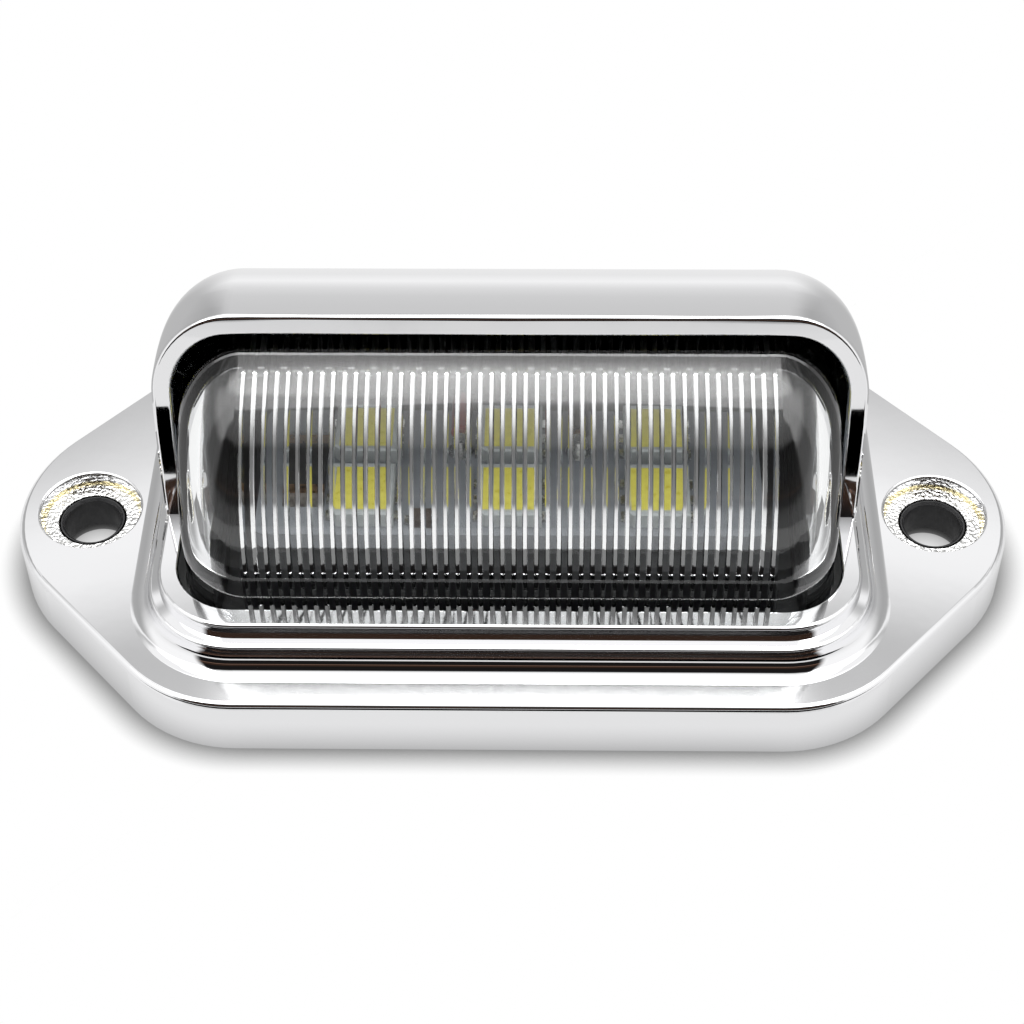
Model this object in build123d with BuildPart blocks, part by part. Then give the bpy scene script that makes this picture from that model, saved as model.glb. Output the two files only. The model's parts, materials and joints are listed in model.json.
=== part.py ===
"""Number plate lamp: hooded chrome housing, clear fluted lens, six lamps on a board and a black rear base.

Millimetres. The origin is the middle of the flat mounting face, +X runs along the lamp, the open side of
the hood looks along -Y and +Z points away from the mounting face.
"""
from build123d import *
from math import acos, atan2, cos, degrees, hypot, radians, sin
import os

# Collar that carries the hood and frames the lens
collar_length = 54.5
collar_depth = 30.9
collar_corner = 6.3
collar_height = 1.4
collar_skin = 1.8
collar_bevel = 0.35
rim_front = 1.85
rim_bevel = 0.2
ledge_width = 0.9
ledge_height = 2.2
ledge_fall = 0.14
ledge_bevel = 0.3
foot_fillet = 1.6

# Hood over the lens
hood_wall = 1.6
dome_rise = 1.8
lip_foot = 3.9
lip_lean = 4.5
lip_curve = 57.0
lip_bevel = 0.35

# Mounting plate with its two screw ears
plate_height = 5.2
plate_skin = 2.2
plate_margin = 2.3
plate_bevel = 0.5
skirt_wall = 1.8
ear_radius = 12.25

# Screw holes, sunk in round pockets
pocket_radius = 4.05
pocket_depth = 1.2
pocket_gap = 0.25
pocket_bevel = 0.25
hole_radius = 2.7
hole_bevel = 0.15
hole_inset = 5.7

# Lens and its gasket
lens_clearance = 0.5
lens_corner = 4.9
lens_wall = 1.7
flange_step = 1.0
flange_thickness = 1.3
gasket_thickness = 0.8
rib_pitch = 1.69
rib_crest = 0.42
rib_height = 0.39
rib_root = 0.4

# Rear base
fit_gap = 0.15
base_gap = 0.1
platform_wall = 1.3
platform_roof = 1.6
platform_corner = 1.5
platform_bevel = 0.4
platform_front_margin = 2.5
platform_end_margin = 1.2
bush_gap = 0.1
bush_sink = 0.1
bush_bore_radius = 2.3
bush_bevel = 0.2
relief_step = 1.0
relief_depth = 1.0

# Sealing resin in the back of the base, and the inlet left in it for the cable
potting_recess = 0.6
inlet_radius = 2.2
inlet_depth = 3.0

# Circuit board
board_rise = 1.2
board_thickness = 1.6
board_corner = 0.8
board_edge = 0.8
board_end = 2.0

# Lamps on the board
led_columns = 3
led_rows = 2
led_pitch_x = 11.5
led_pitch_y = 6.8
led_length = 5.0
led_depth = 5.4
led_height = 1.5
led_bevel = 0.15
led_mark = 0.6
window_length = 4.2
window_depth = 4.5
cup_depth = 0.8
cup_taper = 12
phosphor_sink = 0.05
terminal_reach = 0.35
terminal_width = 0.9
terminal_height = 0.25
terminal_pitch = 1.7
terminal_rows = 3

# Chip resistor beside the lamps
resistor_gap = 0.25
resistor_width = 3.2
resistor_length = 6.4
resistor_height = 0.6
resistor_cap = 0.9
cap_skin = 0.08
solder_reach = 0.9

# Small diode at the front edge of the board
diode_gap = 0.5
diode_inset = 0.7
diode_length = 1.8
diode_width = 1.3
diode_height = 1.0
diode_bevel = 0.2
diode_foot = 0.35
diode_foot_height = 0.3
diode_foot_width = 0.7

# Two wires over the back edge of the board, and their solder joints
lead_spacing = 9.4
lead_shift = 0.7
lead_radius = 0.8
lead_gap = 0.1
lead_bend = 1.5
lead_lift = 0.1
lead_board_gap = 0.4
lead_end = 3.3
lead_depth = 3.8
conductor_radius = 0.4
conductor_length = 1.7
joint_radius = 1.05
joint_top_radius = 0.6
joint_height = 1.45
joint_gap = 0.15

# Heights above the mounting face
ledge_top = plate_height + ledge_height
ledge_edge = ledge_top - ledge_fall
collar_top = ledge_top + collar_height
dome_centre = collar_top + dome_rise
shoulder = collar_top - collar_skin
gasket_bottom = shoulder - gasket_thickness
flange_bottom = gasket_bottom - flange_thickness
recess_top = plate_height - plate_skin
base_top = recess_top - base_gap
pocket_floor = plate_height - pocket_depth
board_top = collar_top + board_rise
board_bottom = board_top - board_thickness
cavity_roof = board_bottom - platform_roof
lead_height = board_top + lead_lift + lead_radius

# Outlines worked out from the collar
ledge_length = collar_length + 2 * ledge_width
ledge_depth = collar_depth + 2 * ledge_width
ledge_corner = collar_corner + ledge_width
foot_length = ledge_length + 2 * foot_fillet
foot_depth = ledge_depth + 2 * foot_fillet
foot_corner = ledge_corner + foot_fillet
opening_length = collar_length - 2 * hood_wall
opening_depth = collar_depth - 2 * rim_front
opening_corner = collar_corner - hood_wall
seat_length = opening_length + 2 * flange_step
seat_depth = opening_depth + 2 * flange_step
seat_corner = opening_corner + flange_step
lens_length = opening_length - 2 * lens_clearance
lens_depth = opening_depth - 2 * lens_clearance
lens_inner_length = lens_length - 2 * lens_wall
lens_inner_depth = lens_depth - 2 * lens_wall
lens_inner_corner = lens_corner - lens_wall
rib_base = rib_crest + 2 * rib_height
hole_x = foot_length / 2 + pocket_gap + pocket_bevel + pocket_radius
ear_x = hole_x + hole_inset - ear_radius
plate_corner = foot_corner + plate_margin
plate_corner_x = foot_length / 2 - foot_corner
plate_corner_y = foot_depth / 2 - foot_corner
ear_run = (plate_corner_x - ear_x, plate_corner_y)
ear_lean = acos((ear_radius - plate_corner) / hypot(*ear_run))
plate_slant = degrees(atan2(ear_run[1], ear_run[0]) - ear_lean)

# Places on the board
led_reach = led_length / 2 + terminal_reach
led_end_x = led_pitch_x * (led_columns - 1) / 2
resistor_x = -(led_end_x + led_reach + resistor_gap + resistor_width / 2)
board_length = 2 * (resistor_width / 2 - resistor_x + board_end)
board_depth = led_pitch_y * (led_rows - 1) + led_depth + 2 * board_edge
diode_x = -(led_end_x - led_reach - diode_gap - diode_length / 2 - diode_foot)
diode_y = -(board_depth / 2 - diode_inset - diode_width / 2)
lead_y = board_depth / 2 + lead_board_gap + lead_radius
lead_places = {"red": lead_shift - lead_spacing / 2, "black": lead_shift + lead_spacing / 2}
joint_y = lead_end - joint_gap - joint_radius

# Platform of the base that carries the board, and the hollow under it
platform_length = board_length + 2 * platform_end_margin
platform_front = board_depth / 2 + platform_front_margin
platform_back = lead_y + lead_radius + lead_gap + platform_wall
platform_depth = platform_front + platform_back
platform_y = (platform_back - platform_front) / 2
hollow_length = platform_length - 2 * platform_wall
hollow_depth = platform_depth - 2 * platform_wall

MIN_Z = (Align.CENTER, Align.CENTER, Align.MIN)
screw_holes = GridLocations(2 * hole_x, 0, 2, 1).locations


def plate_outline(inset=0):
    """Outline of the mounting plate, moved in by inset: round ears and corners joined by slanted sides."""
    with BuildLine() as outline:
        ear = CenterArc((ear_x, 0), ear_radius - inset, 0, plate_slant)
        corner_centre = (plate_corner_x, plate_corner_y)
        corner = CenterArc(corner_centre, plate_corner - inset, plate_slant, 90 - plate_slant)
        Line(ear @ 1, corner @ 0)
        Line(corner @ 1, (0, (corner @ 1).Y))
        mirror(about=Plane.YZ)
        mirror(about=Plane.XZ)
    make_face(outline.edges())


def dome(length, depth, bottom, end_round):
    """Half-round form along X on straight sides, with rounded ends."""
    radius = depth / 2
    with BuildPart() as form:
        with BuildSketch(Plane.YZ):
            with BuildLine():
                Polyline((radius, dome_centre), (radius, bottom), (-radius, bottom), (-radius, dome_centre))
                ThreePointArc((-radius, dome_centre), (0, dome_centre + radius), (radius, dome_centre))
            make_face()
        extrude(amount=length / 2, both=True)
        end_edges = form.faces().filter_by(Axis.X).edges()
        fillet(end_edges.filter_by(lambda edge: edge.center().Z > bottom + 1e-3), end_round)
    return form.part


def is_circle(edge, radius, height):
    """True for a round edge of this radius that lies level at this height."""
    return abs(edge.radius - radius) < 1e-4 and abs(edge.center().Z - height) < 1e-4


def is_lip(face):
    """True for a round face with the curve of the lip."""
    return abs(face.radius - lip_curve) < 1e-4


def save(builder, name):
    """Name a finished piece and write it out."""
    builder.part.label = name
    export_step(builder.part, f"parts/{name}.step")


os.makedirs("parts", exist_ok=True)

# Forms of the hood and of the lens, outside and inside
hood_outside = dome(collar_length, collar_depth, ledge_top, collar_corner)
hood_inside = dome(opening_length, collar_depth - 2 * hood_wall, ledge_top, opening_corner)
lens_outside = dome(lens_length, lens_depth, flange_bottom, lens_corner)
lens_inside = dome(lens_inner_length, lens_inner_depth, flange_bottom, lens_inner_corner)

# Hood: hollow dome cut off at its lip, which leans back more and more towards the top
lip_centre = (lip_curve * cos(radians(lip_lean)) - lip_foot, collar_top - lip_curve * sin(radians(lip_lean)))
with BuildPart() as hood:
    add(hood_outside)
    add(hood_inside, mode=Mode.SUBTRACT)
    with BuildSketch(Plane.YZ):
        with BuildLine():
            lip = CenterArc(lip_centre, lip_curve, 180, -90)
            Polyline(lip @ 1, (-collar_depth, (lip @ 1).Y), (-collar_depth, (lip @ 0).Y), lip @ 0)
        make_face()
    extrude(amount=collar_length, both=True, mode=Mode.SUBTRACT)
    lip_faces = hood.faces().filter_by(GeomType.CYLINDER).filter_by(is_lip)
    chamfer(lip_faces.edges().filter_by(lambda edge: edge.center().Z > ledge_top + 1e-3), lip_bevel)

# Housing: plate, stepped collar and hood in one moulding, open at the back
with BuildPart() as housing:
    with BuildSketch():
        plate_outline()
    extrude(amount=plate_height)
    chamfer(housing.edges().group_by(Axis.Z)[-1], plate_bevel)
    with BuildSketch(Plane.XY.offset(plate_height)):
        RectangleRounded(ledge_length, ledge_depth, ledge_corner)
    extrude(amount=ledge_height - ledge_fall)
    fillet(housing.edges(Select.LAST).group_by(Axis.Z)[0], foot_fillet)
    with BuildSketch(Plane.XY.offset(ledge_edge)):
        RectangleRounded(ledge_length, ledge_depth, ledge_corner)
    with BuildSketch(Plane.XY.offset(ledge_top)) as collar_outline:
        RectangleRounded(collar_length, collar_depth, collar_corner)
    loft(ruled=True)
    chamfer(housing.edges().filter_by(lambda edge: abs(edge.center().Z - ledge_edge) < 1e-4), ledge_bevel)
    extrude(collar_outline.sketch, amount=collar_height)
    chamfer(housing.edges().group_by(Axis.Z)[-1], collar_bevel)
    with BuildSketch(Plane.XY.offset(collar_top)):
        RectangleRounded(opening_length, opening_depth, opening_corner)
    extrude(amount=-collar_top, mode=Mode.SUBTRACT)
    chamfer(housing.edges(Select.LAST).group_by(Axis.Z)[-1], rim_bevel)
    add(hood.part)
    with BuildSketch(Plane.XY.offset(shoulder)):
        RectangleRounded(seat_length, seat_depth, seat_corner)
    extrude(amount=-shoulder, mode=Mode.SUBTRACT)
    with BuildSketch():
        plate_outline(skirt_wall)
    extrude(amount=recess_top, mode=Mode.SUBTRACT)
    with Locations((0, 0, plate_height)):
        with Locations(screw_holes):
            CounterBoreHole(hole_radius, pocket_radius, pocket_depth, depth=plate_height)
    round_edges = housing.edges().filter_by(GeomType.CIRCLE)
    chamfer(round_edges.filter_by(lambda edge: is_circle(edge, pocket_radius, plate_height)), pocket_bevel)
    round_edges = housing.edges().filter_by(GeomType.CIRCLE)
    chamfer(round_edges.filter_by(lambda edge: is_circle(edge, hole_radius, pocket_floor)), hole_bevel)
save(housing, "housing")

# Lens: clear shell with a flange at its foot and, inside, ribs from front to back with flanks at 45 degrees
rib_space = lens_length - 2 * lens_corner - rib_base
rib_count = int(rib_space / rib_pitch) + 1
rib_circle = lens_inner_depth / 2
rib_profile = [
    (-rib_base / 2, -rib_root),
    (rib_base / 2, -rib_root),
    (rib_base / 2, 0),
    (rib_crest / 2, rib_height),
    (-rib_crest / 2, rib_height),
    (-rib_base / 2, 0),
]
with BuildPart() as ribs:
    with BuildSketch(Plane.XY.offset(dome_centre)):
        with Locations((0, -rib_circle)):
            with GridLocations(rib_pitch, 0, rib_count, 1):
                Polygon(*rib_profile, align=None)
    revolve(axis=Axis((0, 0, dome_centre), (-1, 0, 0)), revolution_arc=180)
    with BuildSketch(Plane.XY.offset(dome_centre)):
        for turn in (0, 180):
            with Locations(Location((0, 0), turn)):
                with Locations((0, -rib_circle)):
                    with GridLocations(rib_pitch, 0, rib_count, 1):
                        Polygon(*rib_profile, align=None)
    extrude(amount=shoulder - dome_centre)
with BuildPart() as lens:
    add(lens_outside)
    with BuildSketch(Plane.XY.offset(flange_bottom)):
        RectangleRounded(seat_length - 2 * fit_gap, seat_depth - 2 * fit_gap, seat_corner - fit_gap)
    extrude(amount=flange_thickness)
    add(lens_inside, mode=Mode.SUBTRACT)
    add(ribs.part)
save(lens, "lens")

# Gasket: flat ring between the flange and the shoulder of the collar
with BuildPart() as lens_gasket:
    with BuildSketch(Plane.XY.offset(gasket_bottom)):
        RectangleRounded(seat_length - 2 * fit_gap, seat_depth - 2 * fit_gap, seat_corner - fit_gap)
        inner_length = lens_length + 2 * fit_gap
        inner_depth = lens_depth + 2 * fit_gap
        RectangleRounded(inner_length, inner_depth, lens_corner + fit_gap, mode=Mode.SUBTRACT)
    extrude(amount=gasket_thickness)
save(lens_gasket, "lens_gasket")

# Rear base: plate inside the skirt, rim under the flange, platform for the board, bushes in the screw holes
with BuildPart() as rear_base:
    with BuildSketch():
        plate_outline(skirt_wall + fit_gap)
    extrude(amount=base_top)
    with BuildSketch(Plane.XY.offset(base_top)):
        RectangleRounded(seat_length - 2 * fit_gap, seat_depth - 2 * fit_gap, seat_corner - fit_gap)
        RectangleRounded(lens_inner_length, lens_inner_depth, lens_inner_corner, mode=Mode.SUBTRACT)
    extrude(amount=flange_bottom - base_top)
    with BuildSketch(Plane.XY.offset(base_top)):
        with Locations((0, platform_y)):
            RectangleRounded(platform_length, platform_depth, platform_corner)
    extrude(amount=board_bottom - base_top)
    chamfer(rear_base.edges().group_by(Axis.Z)[-1], platform_bevel)
    with BuildSketch():
        with Locations((0, platform_y)):
            Rectangle(hollow_length, hollow_depth)
    extrude(amount=cavity_roof, mode=Mode.SUBTRACT)
    with Locations(*[(x, lead_y, board_bottom) for x in lead_places.values()]):
        Hole(lead_radius + lead_gap, depth=platform_roof)
    bush_top = pocket_floor - bush_sink
    with Locations(screw_holes):
        Cylinder(hole_radius - bush_gap, bush_top, align=MIN_Z)
        Cylinder(bush_bore_radius, bush_top, align=MIN_Z, mode=Mode.SUBTRACT)
        Cylinder(bush_bore_radius + relief_step, relief_depth, align=MIN_Z, mode=Mode.SUBTRACT)
    bore_edges = rear_base.edges().filter_by(GeomType.CIRCLE)
    chamfer(bore_edges.filter_by(lambda edge: is_circle(edge, bush_bore_radius, bush_top)), bush_bevel)
save(rear_base, "rear_base")

# Sealing resin that fills the hollow of the base round the wires
lead_bottom = cavity_roof - lead_depth
with BuildPart() as potting:
    with BuildSketch(Plane.XY.offset(potting_recess)):
        with Locations((0, platform_y)):
            Rectangle(hollow_length, hollow_depth)
    extrude(amount=cavity_roof - potting_recess)
    with Locations(*[(x, lead_y, cavity_roof) for x in lead_places.values()]):
        Hole(lead_radius, depth=lead_depth)
    with Locations((0, 0, potting_recess)):
        Cylinder(inlet_radius, inlet_depth, align=MIN_Z, mode=Mode.SUBTRACT)
save(potting, "potting")

# Circuit board on the platform
with BuildPart() as circuit_board:
    with BuildSketch(Plane.XY.offset(board_bottom)):
        RectangleRounded(board_length, board_depth, board_corner)
    extrude(amount=board_thickness)
save(circuit_board, "circuit_board")

# Six lamps: white package with a cut corner and a cup, and the yellow filling of the cup
led_places = [place.position for place in GridLocations(led_pitch_x, led_pitch_y, led_columns, led_rows)]
for number, place in enumerate(led_places, start=1):
    rim_plane = Plane((place.X, place.Y, board_top + led_height))
    fill_plane = rim_plane.offset(-phosphor_sink)
    with BuildPart() as led:
        with BuildSketch(rim_plane) as package:
            Rectangle(led_length, led_depth)
            chamfer(package.vertices().group_by(Axis.Y)[0].sort_by(Axis.X)[0], led_mark)
        extrude(amount=-led_height)
        chamfer(led.edges().group_by(Axis.Z)[-1], led_bevel)
        with BuildSketch(rim_plane):
            Rectangle(window_length, window_depth)
        extrude(amount=-cup_depth, taper=cup_taper, mode=Mode.SUBTRACT)
    save(led, f"led_{number}")
    with BuildPart() as phosphor:
        with BuildSketch(rim_plane):
            Rectangle(window_length, window_depth)
        extrude(amount=-cup_depth, taper=cup_taper)
        split(bisect_by=fill_plane, keep=Keep.BOTTOM)
    save(phosphor, f"led_{number}_phosphor")

# Soldered feet on both sides of every lamp
with BuildPart() as led_terminals:
    for place in led_places:
        for side in (-1, 1):
            foot_x = place.X + side * (led_length + terminal_reach) / 2
            with Locations((foot_x, place.Y, board_top)):
                with GridLocations(0, terminal_pitch, 1, terminal_rows):
                    Box(terminal_reach, terminal_width, terminal_height, align=MIN_Z)
save(led_terminals, "led_terminals")

# Chip resistor: body, two end caps and the solder that runs up to them
cap_y = (resistor_length - resistor_cap) / 2
with BuildPart() as resistor_body:
    with Locations((resistor_x, 0, board_top)):
        Box(resistor_width, resistor_length - 2 * resistor_cap, resistor_height, align=MIN_Z)
save(resistor_body, "resistor_body")
with BuildPart() as resistor_caps:
    with Locations((resistor_x, 0, board_top)):
        with GridLocations(0, 2 * cap_y, 1, 2):
            Box(resistor_width, resistor_cap, resistor_height + cap_skin, align=MIN_Z)
save(resistor_caps, "resistor_caps")
with BuildPart() as resistor_solder:
    with BuildSketch(Plane.YZ.offset(resistor_x)):
        for side in (-1, 1):
            end = side * resistor_length / 2
            with BuildLine():
                top = (end, board_top + resistor_height)
                toe = (end + side * solder_reach, board_top)
                Polyline(top, (end, board_top), toe)
                RadiusArc(toe, top, -side * 2 * solder_reach)
            make_face()
    extrude(amount=resistor_width / 2, both=True)
save(resistor_solder, "resistor_solder")

# Small diode: body with sloped top edges, and a foot at each end
with BuildPart() as diode_body:
    with Locations((diode_x, diode_y, board_top)):
        Box(diode_length, diode_width, diode_height, align=MIN_Z)
    chamfer(diode_body.edges().group_by(Axis.Z)[-1], diode_bevel)
save(diode_body, "diode_body")
with BuildPart() as diode_terminals:
    with Locations((diode_x, diode_y, board_top)):
        with GridLocations(diode_length + diode_foot, 0, 2, 1):
            Box(diode_foot, diode_foot_width, diode_foot_height, align=MIN_Z)
save(diode_terminals, "diode_terminals")

# Wires: up through the platform, over the edge of the board and forward to their joints
for colour, x in lead_places.items():
    with BuildPart() as lead:
        with BuildLine():
            corners = [(x, lead_y, lead_bottom), (x, lead_y, lead_height), (x, lead_end, lead_height)]
            FilletPolyline(*corners, radius=lead_bend)
        with BuildSketch(Plane((x, lead_y, lead_bottom))):
            Circle(lead_radius)
        sweep()
    save(lead, f"lead_{colour}")

# Bared wire ends and the solder joints round them
end_planes = [Plane((x, lead_end, lead_height), z_dir=(0, -1, 0)) for x in lead_places.values()]
with BuildPart() as lead_conductors:
    with Locations(*[plane.location for plane in end_planes]):
        Cylinder(conductor_radius, conductor_length, align=MIN_Z)
save(lead_conductors, "lead_conductors")
with BuildPart() as solder_joints:
    with Locations(*[(x, joint_y, board_top) for x in lead_places.values()]):
        Cone(joint_radius, joint_top_radius, joint_height, align=MIN_Z)
    with Locations(*[plane.location for plane in end_planes]):
        Cylinder(conductor_radius, conductor_length, align=MIN_Z, mode=Mode.SUBTRACT)
save(solder_joints, "solder_joints")
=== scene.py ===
"""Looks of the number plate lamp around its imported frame: finishes, studio light, floor and camera."""
import json
import math

import bpy
from mathutils import Matrix, Vector

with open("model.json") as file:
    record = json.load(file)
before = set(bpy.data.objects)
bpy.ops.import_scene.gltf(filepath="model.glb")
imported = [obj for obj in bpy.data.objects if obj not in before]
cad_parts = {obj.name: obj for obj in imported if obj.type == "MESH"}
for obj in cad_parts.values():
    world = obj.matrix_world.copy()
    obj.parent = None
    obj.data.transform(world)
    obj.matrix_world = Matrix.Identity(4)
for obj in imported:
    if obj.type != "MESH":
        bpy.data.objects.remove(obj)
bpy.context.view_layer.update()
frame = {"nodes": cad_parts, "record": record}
nodes = frame["nodes"]
scene = bpy.context.scene

MM = 0.001
LED_COUNT = 6

# Camera, fitted to the photograph
CAMERA_PLACE = Vector((2.815, -122.011, 135.205)) * MM
CAMERA_AIM = Vector((0.062, 0, 5.082)) * MM
CAMERA_ROLL = math.radians(-0.683)
CAMERA_LENS = 77.14
CAMERA_SENSOR = 36
CAMERA_CLIP = 1 * MM

# Studio as the plating shows it: elevation in degrees, with a colour there or the brightness of a grey.
# A dark card stands in front, white walls at both sides and grey ones behind, under a large lamp
DARK = (0.010, 0.009, 0.009)
UMBER = (0.035, 0.020, 0.014)
BROWN = (0.24, 0.14, 0.10)
FRONT_LIGHT = [
    (0, 0.75), (1.5, 0.7), (2.5, DARK), (22, DARK), (24, BROWN), (26, UMBER), (33, UMBER), (35, DARK),
    (55, DARK), (60, 0.9), (68, 1.1), (80, 1.3), (86, 2.5), (90, 6),
]
SIDE_LIGHT = [(0, 0.9), (20, 1.0), (46, 1.0), (56, 3.5), (80, 4), (90, 6)]
REAR_LIGHT = [
    (0, 0.5), (30, 0.4), (42.5, 0.42), (44, 0.5), (46, 0.92), (47.5, 0.95), (49.5, 0.5), (51, 0.6),
    (53, 0.95), (63, 0.95), (70, 6), (80, 8), (90, 6),
]
BACK_LIGHT = [
    (-13, 0.84), (0, 0.95), (10, 0.76), (20, 0.66), (36, 0.61), (43, 0.62), (46, 1.02), (47.3, 0.95),
    (49.3, 0.54), (51.5, 0.6), (54, 2.6), (60, 4), (66, 7), (72, 9), (80, 8), (90, 6),
]
# What lights the matt pieces from in front
FILL_LIGHT = [(80, 2.0), (90, 6)]
# What shows through the lens and in its ribs from in front: behind it is white
LENS_LIGHT = [(4, 0.95), (9, 0.8), (15, 0.25), (54, 0.18), (62, 0.27), (68, 0.42), (75, 0.7), (82, 1.0)]
# Elevations at the two ends of the ramps
LOWEST = -30
HIGHEST = 90
# Azimuth from the front, in degrees, over which one wall gives way to the next
FRONT_TO_SIDE = (40, 50)
SIDE_TO_REAR = (95, 125)
REAR_TO_BACK = (152, 172)

# Floor, and the shadow of the lamp on it
FLOOR_SIZE = 3.0
WHITE = (1, 1, 1, 1)
FLOOR_COLOR = (0.97, 0.97, 0.97, 1)
FLOOR_ROUGHNESS = 0.9
SHADOW_REACH = 2.5 * MM
SHADOW_DEPTH = 1.8
# Floor in the plating: brightness, depth of the shadow, and half sizes of the patch round the lamp beyond
# which the studio shows at the sides and behind
MIRROR_LEVEL = 0.82
MIRROR_DEPTH = 0.7
PATCH = (52 * MM, 27 * MM)
# Dark card on the floor before the lamp: its reach in Y in the plating and through the lens, how dark it is
# through the lens, and its half width
CARD = (-74 * MM, -27 * MM)
LENS_CARD = (-42 * MM, 0)
LENS_CARD_SHARE = 0.75
CARD_HALF = 60 * MM

# Plating: colours on the whole, on the floors of the screw pockets and round these, polish and waves
CHROME = (0.93, 0.93, 0.94, 1)
DULL_CHROME = (0.75, 0.75, 0.74, 1)
WARM_CHROME = (0.86, 0.80, 0.60, 1)
CHROME_ROUGHNESS = (0.02, 0.06)
WAVE_SIZE = 6 * MM
WAVE_HEIGHT = 0.004 * MM

# Screw holes and the pockets round them, with a crackled floor and a warm ring at the foot of the wall
SCREW_HOLES = next(mount for mount in frame["record"]["mounts"] if mount["name"] == "screw_holes")
HOLE_X = SCREW_HOLES["dims"]["spacing_x_mm"] / 2 * MM
BORE_RADIUS = 2.6 * MM
POCKET_RADIUS = 4.15 * MM
POCKET_FLOOR = 4.0 * MM
POCKET_RING = 0.35 * MM
CRACKLE_REACH = 0.02 * MM
CRACKLE_SIZE = 0.3 * MM
CRACKLE_HEIGHT = 0.16 * MM

# Flat strip of the plate before the collar, less polished than the rest: it fades out towards the ears
PLATE_TOP = 5.2 * MM
FLAT_REACH = 0.01 * MM
STRIP_EDGE = -16 * MM
STRIP_FADE = (19 * MM, 26 * MM)
STRIP_ROUGHNESS = 0.17

# Clear plastic of the lens, and the colour of the light that it lets through to the matt pieces
CLEAR_COLOR = (0.97, 0.98, 0.98, 1)
CLEAR_LIGHT = (0.92, 0.93, 0.93, 1)
CLEAR_IOR = 1.58

# Noise: the range that its values mostly keep to, and its detail in colours and in surfaces
NOISE_RANGE = (0.3, 0.7)
COLOR_DETAIL = 4.0
SURFACE_DETAIL = 3.0

# Bevels of the housing, known by how far they lean between the faces beside them. The lip of the hood is a
# curve about an axis along X, and the fillet on the plate is no bevel
BEVEL_LEAN = (0.6, 0.75)
LIP_CENTRE = (0, 52.925 * MM, 4.328 * MM)
LIP_CURVE = 57 * MM
LIP_FOOT = 8.85 * MM
LIP_BEVEL_DEPTH = 0.4 * MM
LIP_BEVEL_LEAN = (0.5, 0.9)
FILLET_HEIGHT = (5.22 * MM, 6.85 * MM)

# Ribs inside the lens: its dome is round an axis along X, and its walls are straight below that axis, so that
# lower points are raised to it. RIB_END is half the length of the ribbed part
LENS_CENTRE = (0, 0, 10.6 * MM)
LENS_LOWEST = (-1, -1, LENS_CENTRE[2])
RIB_END = 20.5 * MM
RIB_LEAN = (0.6, 0.8)
RIB_ROUNDING = 0.35


# Nodes
def add_node(tree, kind, inputs=None, **settings):
    """New node with its settings, and with its inputs linked to sockets or set to values."""
    node = tree.nodes.new(kind)
    for key, value in settings.items():
        setattr(node, key, value)
    for key, value in (inputs or {}).items():
        if isinstance(value, bpy.types.NodeSocket):
            tree.links.new(value, node.inputs[key])
        else:
            node.inputs[key].default_value = value
    return node


def math_node(tree, operation, *terms):
    """Result of a Math node."""
    return add_node(tree, "ShaderNodeMath", dict(enumerate(terms)), operation=operation).outputs["Value"]


def vector_node(tree, operation, *terms):
    """Outputs of a Vector Math node."""
    return add_node(tree, "ShaderNodeVectorMath", dict(enumerate(terms)), operation=operation).outputs


def product(tree, *terms):
    """Product of two or more terms."""
    result = terms[0]
    for term in terms[1:]:
        result = math_node(tree, "MULTIPLY", result, term)
    return result


def within(tree, value, low, high):
    """1 where a value lies between two numbers."""
    above = math_node(tree, "GREATER_THAN", value, low)
    return product(tree, above, math_node(tree, "LESS_THAN", value, high))


def mix(tree, kind, factor, first, second):
    """Blend of two colours, kind RGBA, or of two vectors, kind VECTOR: the second one where factor is 1."""
    inputs = {"Factor": factor, "A": first, "B": second}
    return add_node(tree, "ShaderNodeMix", inputs, data_type=kind).outputs["Result"]


def split(tree, vector):
    """Coordinates of a vector, by their letters."""
    return add_node(tree, "ShaderNodeSeparateXYZ", {"Vector": vector}).outputs


def own_place(tree):
    """Place on a piece, in its own coordinates."""
    return add_node(tree, "ShaderNodeTexCoord").outputs["Object"]


def noise(tree, size, detail=SURFACE_DETAIL):
    """Noise with features of about this size."""
    inputs = {"Vector": own_place(tree), "Scale": 1 / size, "Detail": detail}
    return add_node(tree, "ShaderNodeTexNoise", inputs).outputs["Fac"]


def spread(tree, value, source, target, curve="LINEAR"):
    """Value carried over from one range to another, and held at its ends."""
    inputs = {
        "Value": value,
        "From Min": source[0],
        "From Max": source[1],
        "To Min": target[0],
        "To Max": target[1],
    }
    return add_node(tree, "ShaderNodeMapRange", inputs, interpolation_type=curve).outputs["Result"]


def hole_squares(tree, place):
    """Square of the distance from the middle line of the nearer screw hole."""
    axes = split(tree, place)
    across = math_node(tree, "SUBTRACT", math_node(tree, "ABSOLUTE", axes["X"]), HOLE_X)
    squares = [math_node(tree, "POWER", distance, 2) for distance in (across, axes["Y"])]
    return math_node(tree, "ADD", *squares)


# Finishes
def shader(name, **sockets):
    """New material with a Principled shader, and that shader. Socket names take underscores for spaces."""
    material = bpy.data.materials.new(name)
    material.use_nodes = True
    surface = material.node_tree.nodes["Principled BSDF"]
    for key, value in sockets.items():
        surface.inputs[key.replace("_", " ")].default_value = value
    return material, surface


def dress(material, *names):
    """Give a finish to CAD nodes."""
    for name in names:
        nodes[name].material_slots[0].material = material


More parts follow.
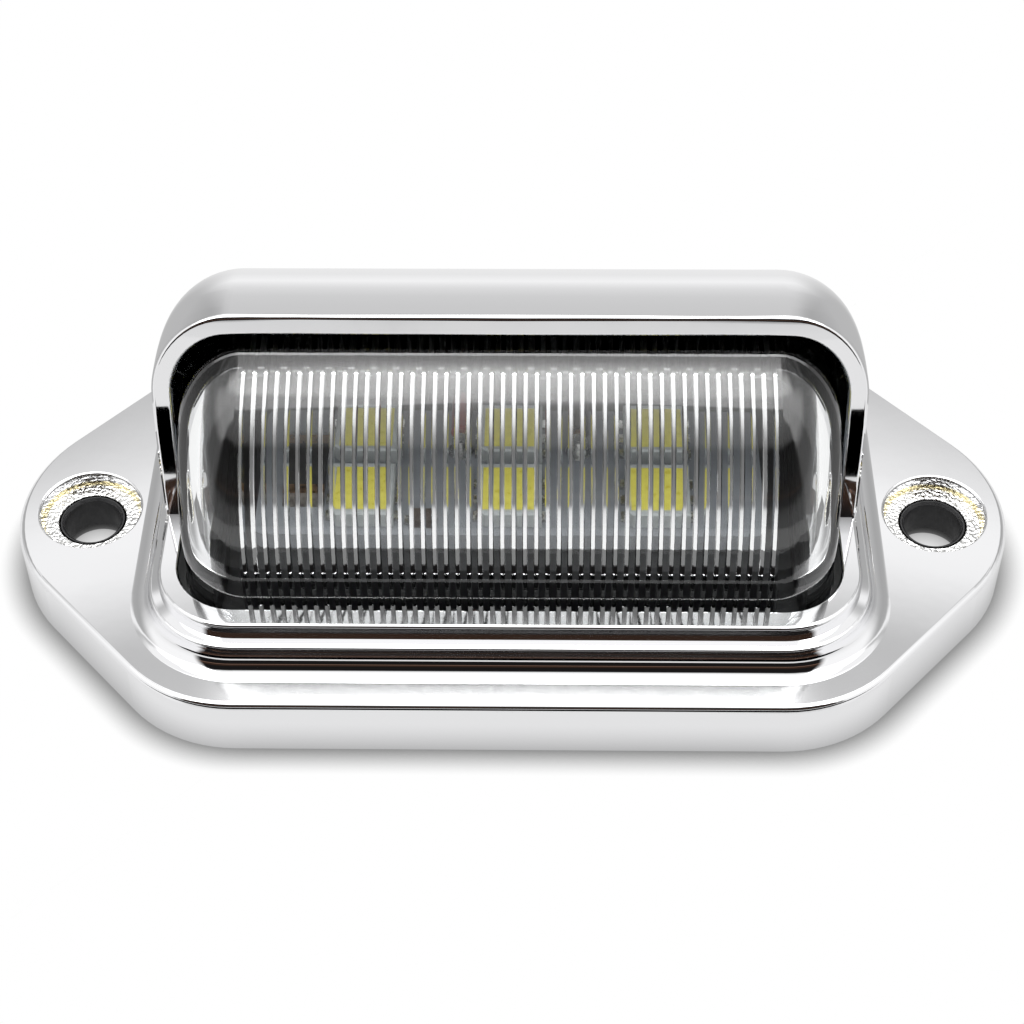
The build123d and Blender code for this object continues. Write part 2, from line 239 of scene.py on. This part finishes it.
def pocket_parts(tree, place):
    """1 on the floors of the screw pockets, and 1 in the rings at the foot of their walls."""
    squares = hole_squares(tree, place)
    inside = math_node(tree, "LESS_THAN", squares, POCKET_RADIUS**2)
    above = math_node(tree, "SUBTRACT", split(tree, place)["Z"], POCKET_FLOOR)
    on_floor = product(tree, inside, math_node(tree, "LESS_THAN", above, CRACKLE_REACH))
    low = math_node(tree, "LESS_THAN", above, POCKET_RING)
    outer = math_node(tree, "GREATER_THAN", squares, (POCKET_RADIUS - POCKET_RING) ** 2)
    return on_floor, product(tree, inside, low, outer)


def strip_roughness(tree, place):
    """Roughness of the strip before the collar, and 0 elsewhere."""
    axes = split(tree, place)
    on_plate = within(tree, axes["Z"], PLATE_TOP - FLAT_REACH, PLATE_TOP + FLAT_REACH)
    before = math_node(tree, "LESS_THAN", axes["Y"], STRIP_EDGE)
    across = math_node(tree, "ABSOLUTE", axes["X"])
    fade = spread(tree, across, STRIP_FADE, (STRIP_ROUGHNESS, 0))
    return product(tree, on_plate, before, fade)


def chrome_plating():
    """Mirror plating, a little wavy, less polished on the strip, crackled and warm in the screw pockets."""
    material, surface = shader("chrome_plating", Metallic=1)
    tree = material.node_tree
    place = own_place(tree)
    on_floor, on_ring = pocket_parts(tree, place)
    cool = mix(tree, "RGBA", on_floor, CHROME, DULL_CHROME)
    tree.links.new(mix(tree, "RGBA", on_ring, cool, WARM_CHROME), surface.inputs["Base Color"])

    waves = noise(tree, WAVE_SIZE)
    polish = spread(tree, waves, NOISE_RANGE, CHROME_ROUGHNESS)
    roughness = math_node(tree, "MAXIMUM", strip_roughness(tree, place), polish)
    tree.links.new(roughness, surface.inputs["Roughness"])

    wavy = add_node(tree, "ShaderNodeBump", {"Height": waves, "Distance": WAVE_HEIGHT})
    inputs = {
        "Strength": on_floor,
        "Distance": CRACKLE_HEIGHT,
        "Height": noise(tree, CRACKLE_SIZE),
        "Normal": wavy.outputs["Normal"],
    }
    crackle = add_node(tree, "ShaderNodeBump", inputs)
    tree.links.new(crackle.outputs["Normal"], surface.inputs["Normal"])
    return material


def clear_plastic():
    """Clear plastic that lets light through to what is behind it."""
    material, surface = shader(
        "clear_plastic", Base_Color=CLEAR_COLOR, Roughness=0.0, IOR=CLEAR_IOR, Transmission_Weight=1
    )
    tree = material.node_tree
    path = add_node(tree, "ShaderNodeLightPath").outputs
    passed = math_node(tree, "MAXIMUM", path["Is Shadow Ray"], path["Is Diffuse Ray"])
    through = add_node(tree, "ShaderNodeBsdfTransparent", {"Color": CLEAR_LIGHT})
    inputs = {0: passed, 1: surface.outputs["BSDF"], 2: through.outputs["BSDF"]}
    either = add_node(tree, "ShaderNodeMixShader", inputs)
    tree.links.new(either.outputs["Shader"], tree.nodes["Material Output"].inputs["Surface"])
    return material


def finish(name, dark, light, size, roughness, height=0.0, metallic=0):
    """Plastic, or metal, whose colour, roughness and low bump wander with noise of this size."""
    material, surface = shader(name, Metallic=metallic)
    tree = material.node_tree
    hue = spread(tree, noise(tree, size, COLOR_DETAIL), NOISE_RANGE, (0, 1))
    tree.links.new(mix(tree, "RGBA", hue, (*dark, 1), (*light, 1)), surface.inputs["Base Color"])
    pattern = noise(tree, size)
    tree.links.new(spread(tree, pattern, NOISE_RANGE, roughness), surface.inputs["Roughness"])
    if height:
        bump = add_node(tree, "ShaderNodeBump", {"Height": pattern, "Distance": height})
        tree.links.new(bump.outputs["Normal"], surface.inputs["Normal"])
    return material


def dress_mouldings():
    """Finishes of the rear base, the gasket and the potting."""
    black_plastic = finish(
        "black_plastic",
        dark=(0.005, 0.005, 0.006),
        light=(0.010, 0.010, 0.011),
        size=0.5 * MM,
        roughness=(0.4, 0.55),
        height=0.01 * MM,
    )
    gasket_rubber = finish(
        "gasket_rubber",
        dark=(0.008, 0.008, 0.008),
        light=(0.014, 0.014, 0.014),
        size=0.4 * MM,
        roughness=(0.6, 0.8),
    )
    sealing_resin = finish(
        "sealing_resin",
        dark=(0.006, 0.006, 0.007),
        light=(0.011, 0.011, 0.012),
        size=4 * MM,
        roughness=(0.12, 0.3),
        height=0.05 * MM,
    )
    dress(black_plastic, "rear_base")
    dress(gasket_rubber, "lens_gasket")
    dress(sealing_resin, "potting")


def dress_leds():
    """Finishes of the packages, whitish plastic painted grey with the shade they lie in, and of the yellow
    fillings in them.
    """
    # Painted shade: the packages are whitish plastic, given a darker grey that stands in for the shade under
    # the lens and hood
    shaded_package = finish(
        "led_package",
        dark=(0.22, 0.23, 0.23),
        light=(0.27, 0.28, 0.28),
        size=0.6 * MM,
        roughness=(0.35, 0.5),
    )
    phosphor = finish(
        "led_phosphor",
        dark=(0.38, 0.34, 0.055),
        light=(0.46, 0.415, 0.072),
        size=0.6 * MM,
        roughness=(0.25, 0.4),
    )
    for number in range(1, LED_COUNT + 1):
        dress(shaded_package, f"led_{number}")
        dress(phosphor, f"led_{number}_phosphor")


def dress_board():
    """Finishes of the board, its solder, and the resistor and diode on it."""
    board_face = finish(
        "board_face",
        dark=(0.11, 0.116, 0.127),
        light=(0.135, 0.142, 0.154),
        size=1.5 * MM,
        roughness=(0.35, 0.5),
    )
    solder = finish(
        "solder",
        dark=(0.55, 0.54, 0.52),
        light=(0.75, 0.74, 0.72),
        size=0.4 * MM,
        roughness=(0.15, 0.35),
        height=0.02 * MM,
        metallic=1,
    )
    dull_solder = finish(
        "dull_solder",
        dark=(0.12, 0.11, 0.10),
        light=(0.26, 0.24, 0.22),
        size=0.3 * MM,
        roughness=(0.3, 0.5),
        height=0.02 * MM,
        metallic=1,
    )
    cap_brown = finish(
        "cap_brown",
        dark=(0.20, 0.12, 0.07),
        light=(0.34, 0.22, 0.14),
        size=0.4 * MM,
        roughness=(0.25, 0.45),
        height=0.02 * MM,
        metallic=1,
    )
    chip_black = finish(
        "chip_black",
        dark=(0.010, 0.010, 0.010),
        light=(0.02, 0.02, 0.02),
        size=0.3 * MM,
        roughness=(0.35, 0.5),
    )
    chip_brown = finish(
        "chip_brown",
        dark=(0.02, 0.012, 0.008),
        light=(0.035, 0.022, 0.014),
        size=0.3 * MM,
        roughness=(0.35, 0.5),
    )
    dress(board_face, "circuit_board")
    dress(solder, "led_terminals", "diode_terminals", "solder_joints")
    dress(dull_solder, "resistor_solder")
    dress(cap_brown, "resistor_caps")
    dress(chip_black, "resistor_body")
    dress(chip_brown, "diode_body")


def dress_leads():
    """Finishes of the two wires and their bared ends."""
    wire_red = finish(
        "wire_red",
        dark=(0.09, 0.006, 0.004),
        light=(0.13, 0.009, 0.006),
        size=1 * MM,
        roughness=(0.3, 0.4),
    )
    wire_black = finish(
        "wire_black",
        dark=(0.008, 0.008, 0.008),
        light=(0.012, 0.012, 0.012),
        size=1 * MM,
        roughness=(0.3, 0.4),
    )
    copper = finish(
        "copper",
        dark=(0.45, 0.20, 0.08),
        light=(0.6, 0.3, 0.14),
        size=0.2 * MM,
        roughness=(0.25, 0.4),
        metallic=1,
    )
    dress(wire_red, "lead_red")
    dress(wire_black, "lead_black")
    dress(copper, "lead_conductors")


# Rounded look of bevels and ribs, by shading normals
def shade_with(piece, name, new_normal):
    """Give a CAD node the normals that a function makes of its own, its points and its face middles."""
    tree = bpy.data.node_groups.new(name, "GeometryNodeTree")
    tree.interface.new_socket("Geometry", in_out="INPUT", socket_type="NodeSocketGeometry")
    tree.interface.new_socket("Geometry", in_out="OUTPUT", socket_type="NodeSocketGeometry")
    given = add_node(tree, "NodeGroupInput").outputs["Geometry"]
    normal = add_node(tree, "GeometryNodeInputNormal").outputs["Normal"]
    point = add_node(tree, "GeometryNodeInputPosition").outputs["Position"]
    on_face = {"domain": "FACE", "data_type": "FLOAT_VECTOR"}
    middle = add_node(tree, "GeometryNodeFieldOnDomain", {0: point}, **on_face).outputs[0]
    shaded = add_node(tree, "GeometryNodeSetMeshNormal", mode="FREE", domain="CORNER")
    tree.links.new(given, shaded.inputs["Mesh"])
    tree.links.new(new_normal(tree, normal, (point, middle)), shaded.inputs["Custom Normal"])
    add_node(tree, "NodeGroupOutput", {"Geometry": shaded.outputs["Mesh"]})
    piece.modifiers.new(name, "NODES").node_group = tree


def bevel_normal(tree, normal, axis, reach, face_reach):
    """Lean of a bevel's normal against the axis of the face beside it, and the normal that rounds it.

    Corners on the side of that face get its axis, and the others get the axis mirrored in the normal.
    """
    lean = vector_node(tree, "DOT_PRODUCT", normal, axis)["Value"]
    inputs = {0: normal, "Scale": product(tree, lean, 2)}
    twice = add_node(tree, "ShaderNodeVectorMath", inputs, operation="SCALE").outputs["Vector"]
    mirrored = vector_node(tree, "SUBTRACT", twice, axis)["Vector"]
    upper = math_node(tree, "GREATER_THAN", reach, face_reach)
    return lean, mix(tree, "VECTOR", upper, mirrored, axis)


def around(tree, point, centre):
    """Direction and distance of a point from an axis along X through centre."""
    offset = vector_node(tree, "SUBTRACT", point, centre)["Vector"]
    flat = vector_node(tree, "MULTIPLY", offset, (0, 1, 1))["Vector"]
    return vector_node(tree, "NORMALIZE", flat)["Vector"], vector_node(tree, "LENGTH", flat)["Value"]


def round_bevels(tree, normal, points):
    """Normals of the housing, with its bevels shaded as roundings."""
    height, face_height = [split(tree, point)["Z"] for point in points]
    upright = add_node(tree, "ShaderNodeCombineXYZ", {"Z": 1}).outputs["Vector"]
    level_lean, level_normal = bevel_normal(tree, normal, upright, height, face_height)
    below_lip = math_node(tree, "LESS_THAN", face_height, LIP_FOOT)
    low = math_node(tree, "SUBTRACT", below_lip, within(tree, face_height, *FILLET_HEIGHT))
    level_bevel = product(tree, low, within(tree, level_lean, *BEVEL_LEAN))

    (outward, reach), (_, face_reach) = [around(tree, point, LIP_CENTRE) for point in points]
    lip_lean, lip_normal = bevel_normal(tree, normal, outward, reach, face_reach)
    above = math_node(tree, "GREATER_THAN", face_height, LIP_FOOT)
    at_lip = within(tree, face_reach, LIP_CURVE - LIP_BEVEL_DEPTH, LIP_CURVE)
    lip_bevel = product(tree, above, at_lip, within(tree, lip_lean, *LIP_BEVEL_LEAN))
    level_rounded = mix(tree, "VECTOR", level_bevel, normal, level_normal)
    return mix(tree, "VECTOR", lip_bevel, level_rounded, lip_normal)


def round_ribs(tree, normal, points):
    """Normals of the lens, with the flanks of its ribs shaded as slightly hollow curves."""
    raised = [vector_node(tree, "MAXIMUM", point, LENS_LOWEST)["Vector"] for point in points]
    (outward, reach), (_, face_reach) = [around(tree, point, LENS_CENTRE) for point in raised]
    inward = vector_node(tree, "MULTIPLY", outward, (-1, -1, -1))["Vector"]
    lean, curved = bevel_normal(tree, normal, inward, face_reach, reach)
    across = math_node(tree, "ABSOLUTE", split(tree, points[1])["X"])
    ribbed = math_node(tree, "LESS_THAN", across, RIB_END)
    share = product(tree, ribbed, within(tree, lean, *RIB_LEAN), RIB_ROUNDING)
    return vector_node(tree, "NORMALIZE", mix(tree, "VECTOR", share, normal, curved))["Vector"]


# Studio
def ramp(tree, height, stops):
    """Colour by height, which runs from 0 to 1 between the two end elevations."""
    node = add_node(tree, "ShaderNodeValToRGB", {"Fac": height})
    elements = node.color_ramp.elements
    while len(elements) < len(stops):
        elements.new(0.5)
    for element, (degrees, color) in zip(elements, stops):
        element.position = (degrees - LOWEST) / (HIGHEST - LOWEST)
        element.color = (*color, 1) if isinstance(color, tuple) else (color, color, color, 1)
    return node.outputs["Color"]


def studio_world():
    """Studio that the plating shows, with light of its own for the matt pieces, the lens and the camera."""
    world = bpy.data.worlds.new("studio")
    scene.world = world
    world.use_nodes = True
    tree = world.node_tree
    path = add_node(tree, "ShaderNodeLightPath").outputs
    axes = split(tree, add_node(tree, "ShaderNodeTexCoord").outputs["Generated"])
    degrees = math_node(tree, "DEGREES", math_node(tree, "ARCSINE", axes["Z"]))
    height = math_node(tree, "DIVIDE", math_node(tree, "SUBTRACT", degrees, LOWEST), HIGHEST - LOWEST)
    forward = product(tree, axes["Y"], -1)
    azimuth = math_node(tree, "ARCTAN2", math_node(tree, "ABSOLUTE", axes["X"]), forward)

    front, fill, lens_front = [ramp(tree, height, stops) for stops in (FRONT_LIGHT, FILL_LIGHT, LENS_LIGHT)]
    light = mix(tree, "RGBA", path["Is Diffuse Ray"], front, fill)
    walls = ((SIDE_LIGHT, FRONT_TO_SIDE), (REAR_LIGHT, SIDE_TO_REAR), (BACK_LIGHT, REAR_TO_BACK))
    for stops, (start, end) in walls:
        turn = spread(tree, azimuth, (math.radians(start), math.radians(end)), (0, 1), "SMOOTHSTEP")
        light = mix(tree, "RGBA", turn, light, ramp(tree, height, stops))

    behind = math_node(tree, "GREATER_THAN", axes["Y"], 0)
    through = mix(tree, "RGBA", behind, lens_front, WHITE)
    light = mix(tree, "RGBA", path["Is Transmission Ray"], light, through)
    seen = mix(tree, "RGBA", path["Is Camera Ray"], light, WHITE)
    tree.links.new(seen, tree.nodes["Background"].inputs["Color"])


def floor_light(tree, place, mirrored, lensed):
    """Brightness of the floor without its shadow: less in the plating, and dark where the card lies."""
    axes = split(tree, place)
    on_card = product(tree, mirrored, within(tree, axes["Y"], *CARD))
    on_lens_card = product(tree, lensed, within(tree, axes["Y"], *LENS_CARD), LENS_CARD_SHARE)
    dark = math_node(tree, "MAXIMUM", on_card, on_lens_card)
    covered = product(tree, dark, within(tree, axes["X"], -CARD_HALF, CARD_HALF))
    level = math_node(tree, "MULTIPLY_ADD", mirrored, MIRROR_LEVEL - 1, 1)
    return product(tree, level, math_node(tree, "SUBTRACT", 1, covered))


def floor_shadow(tree, place, mirrored):
    """Shadow of the lamp on the floor, weaker in the plating and inside the screw holes."""
    open_sky = add_node(tree, "ShaderNodeAmbientOcclusion", {"Distance": SHADOW_REACH}).outputs["AO"]
    in_bore = math_node(tree, "LESS_THAN", hole_squares(tree, place), BORE_RADIUS**2)
    weak = math_node(tree, "MAXIMUM", mirrored, in_bore)
    power = math_node(tree, "MULTIPLY_ADD", weak, MIRROR_DEPTH - SHADOW_DEPTH, SHADOW_DEPTH)
    return math_node(tree, "POWER", open_sky, power)


def floor():
    """White floor with the lamp's shadow close round it, which the plating shows only near the lamp."""
    bpy.ops.mesh.primitive_plane_add(size=FLOOR_SIZE)
    sheet = bpy.context.object
    sheet.name = "floor"
    material, surface = shader("floor", Base_Color=FLOOR_COLOR, Roughness=FLOOR_ROUGHNESS)
    tree = material.node_tree
    path = add_node(tree, "ShaderNodeLightPath").outputs
    lensed = path["Is Transmission Ray"]
    # Rays that came through the lens count as glossy too
    mirrored = math_node(tree, "GREATER_THAN", path["Is Glossy Ray"], lensed)
    seen = math_node(tree, "MAXIMUM", path["Is Camera Ray"], math_node(tree, "MAXIMUM", mirrored, lensed))

    place = own_place(tree)
    bright = floor_light(tree, place, mirrored, lensed)
    shade = product(tree, bright, floor_shadow(tree, place, mirrored))
    white = add_node(tree, "ShaderNodeEmission", {"Strength": shade})
    inputs = {0: seen, 1: surface.outputs["BSDF"], 2: white.outputs["Emission"]}
    shown = add_node(tree, "ShaderNodeMixShader", inputs)

    in_patch = vector_node(tree, "DIVIDE", place, (*PATCH, 1))["Vector"]
    beyond = math_node(tree, "GREATER_THAN", vector_node(tree, "LENGTH", in_patch)["Value"], 1)
    past_card = math_node(tree, "GREATER_THAN", split(tree, place)["Y"], CARD[1])
    hidden = product(tree, mirrored, beyond, past_card)
    clear = add_node(tree, "ShaderNodeBsdfTransparent")
    inputs = {0: hidden, 1: shown.outputs["Shader"], 2: clear.outputs["BSDF"]}
    whole = add_node(tree, "ShaderNodeMixShader", inputs)
    tree.links.new(whole.outputs["Shader"], tree.nodes["Material Output"].inputs["Surface"])
    sheet.data.materials.append(material)


def camera():
    """Camera at the photograph's place."""
    data = bpy.data.cameras.new("camera")
    data.lens = CAMERA_LENS
    data.sensor_width = CAMERA_SENSOR
    data.clip_start = CAMERA_CLIP
    view = bpy.data.objects.new("camera", data)
    scene.collection.objects.link(view)
    turn = (CAMERA_AIM - CAMERA_PLACE).to_track_quat("-Z", "Y").to_matrix()
    turn = turn @ Matrix.Rotation(CAMERA_ROLL, 3, "Z")
    view.matrix_world = Matrix.Translation(CAMERA_PLACE) @ turn.to_4x4()
    scene.camera = view


scene.view_settings.view_transform = "Standard"

dress(chrome_plating(), "housing")
dress(clear_plastic(), "lens")
dress_mouldings()
dress_leds()
dress_board()
dress_leads()

shade_with(nodes["housing"], "round_bevels", round_bevels)
shade_with(nodes["lens"], "round_ribs", round_ribs)

studio_world()
floor()
camera()
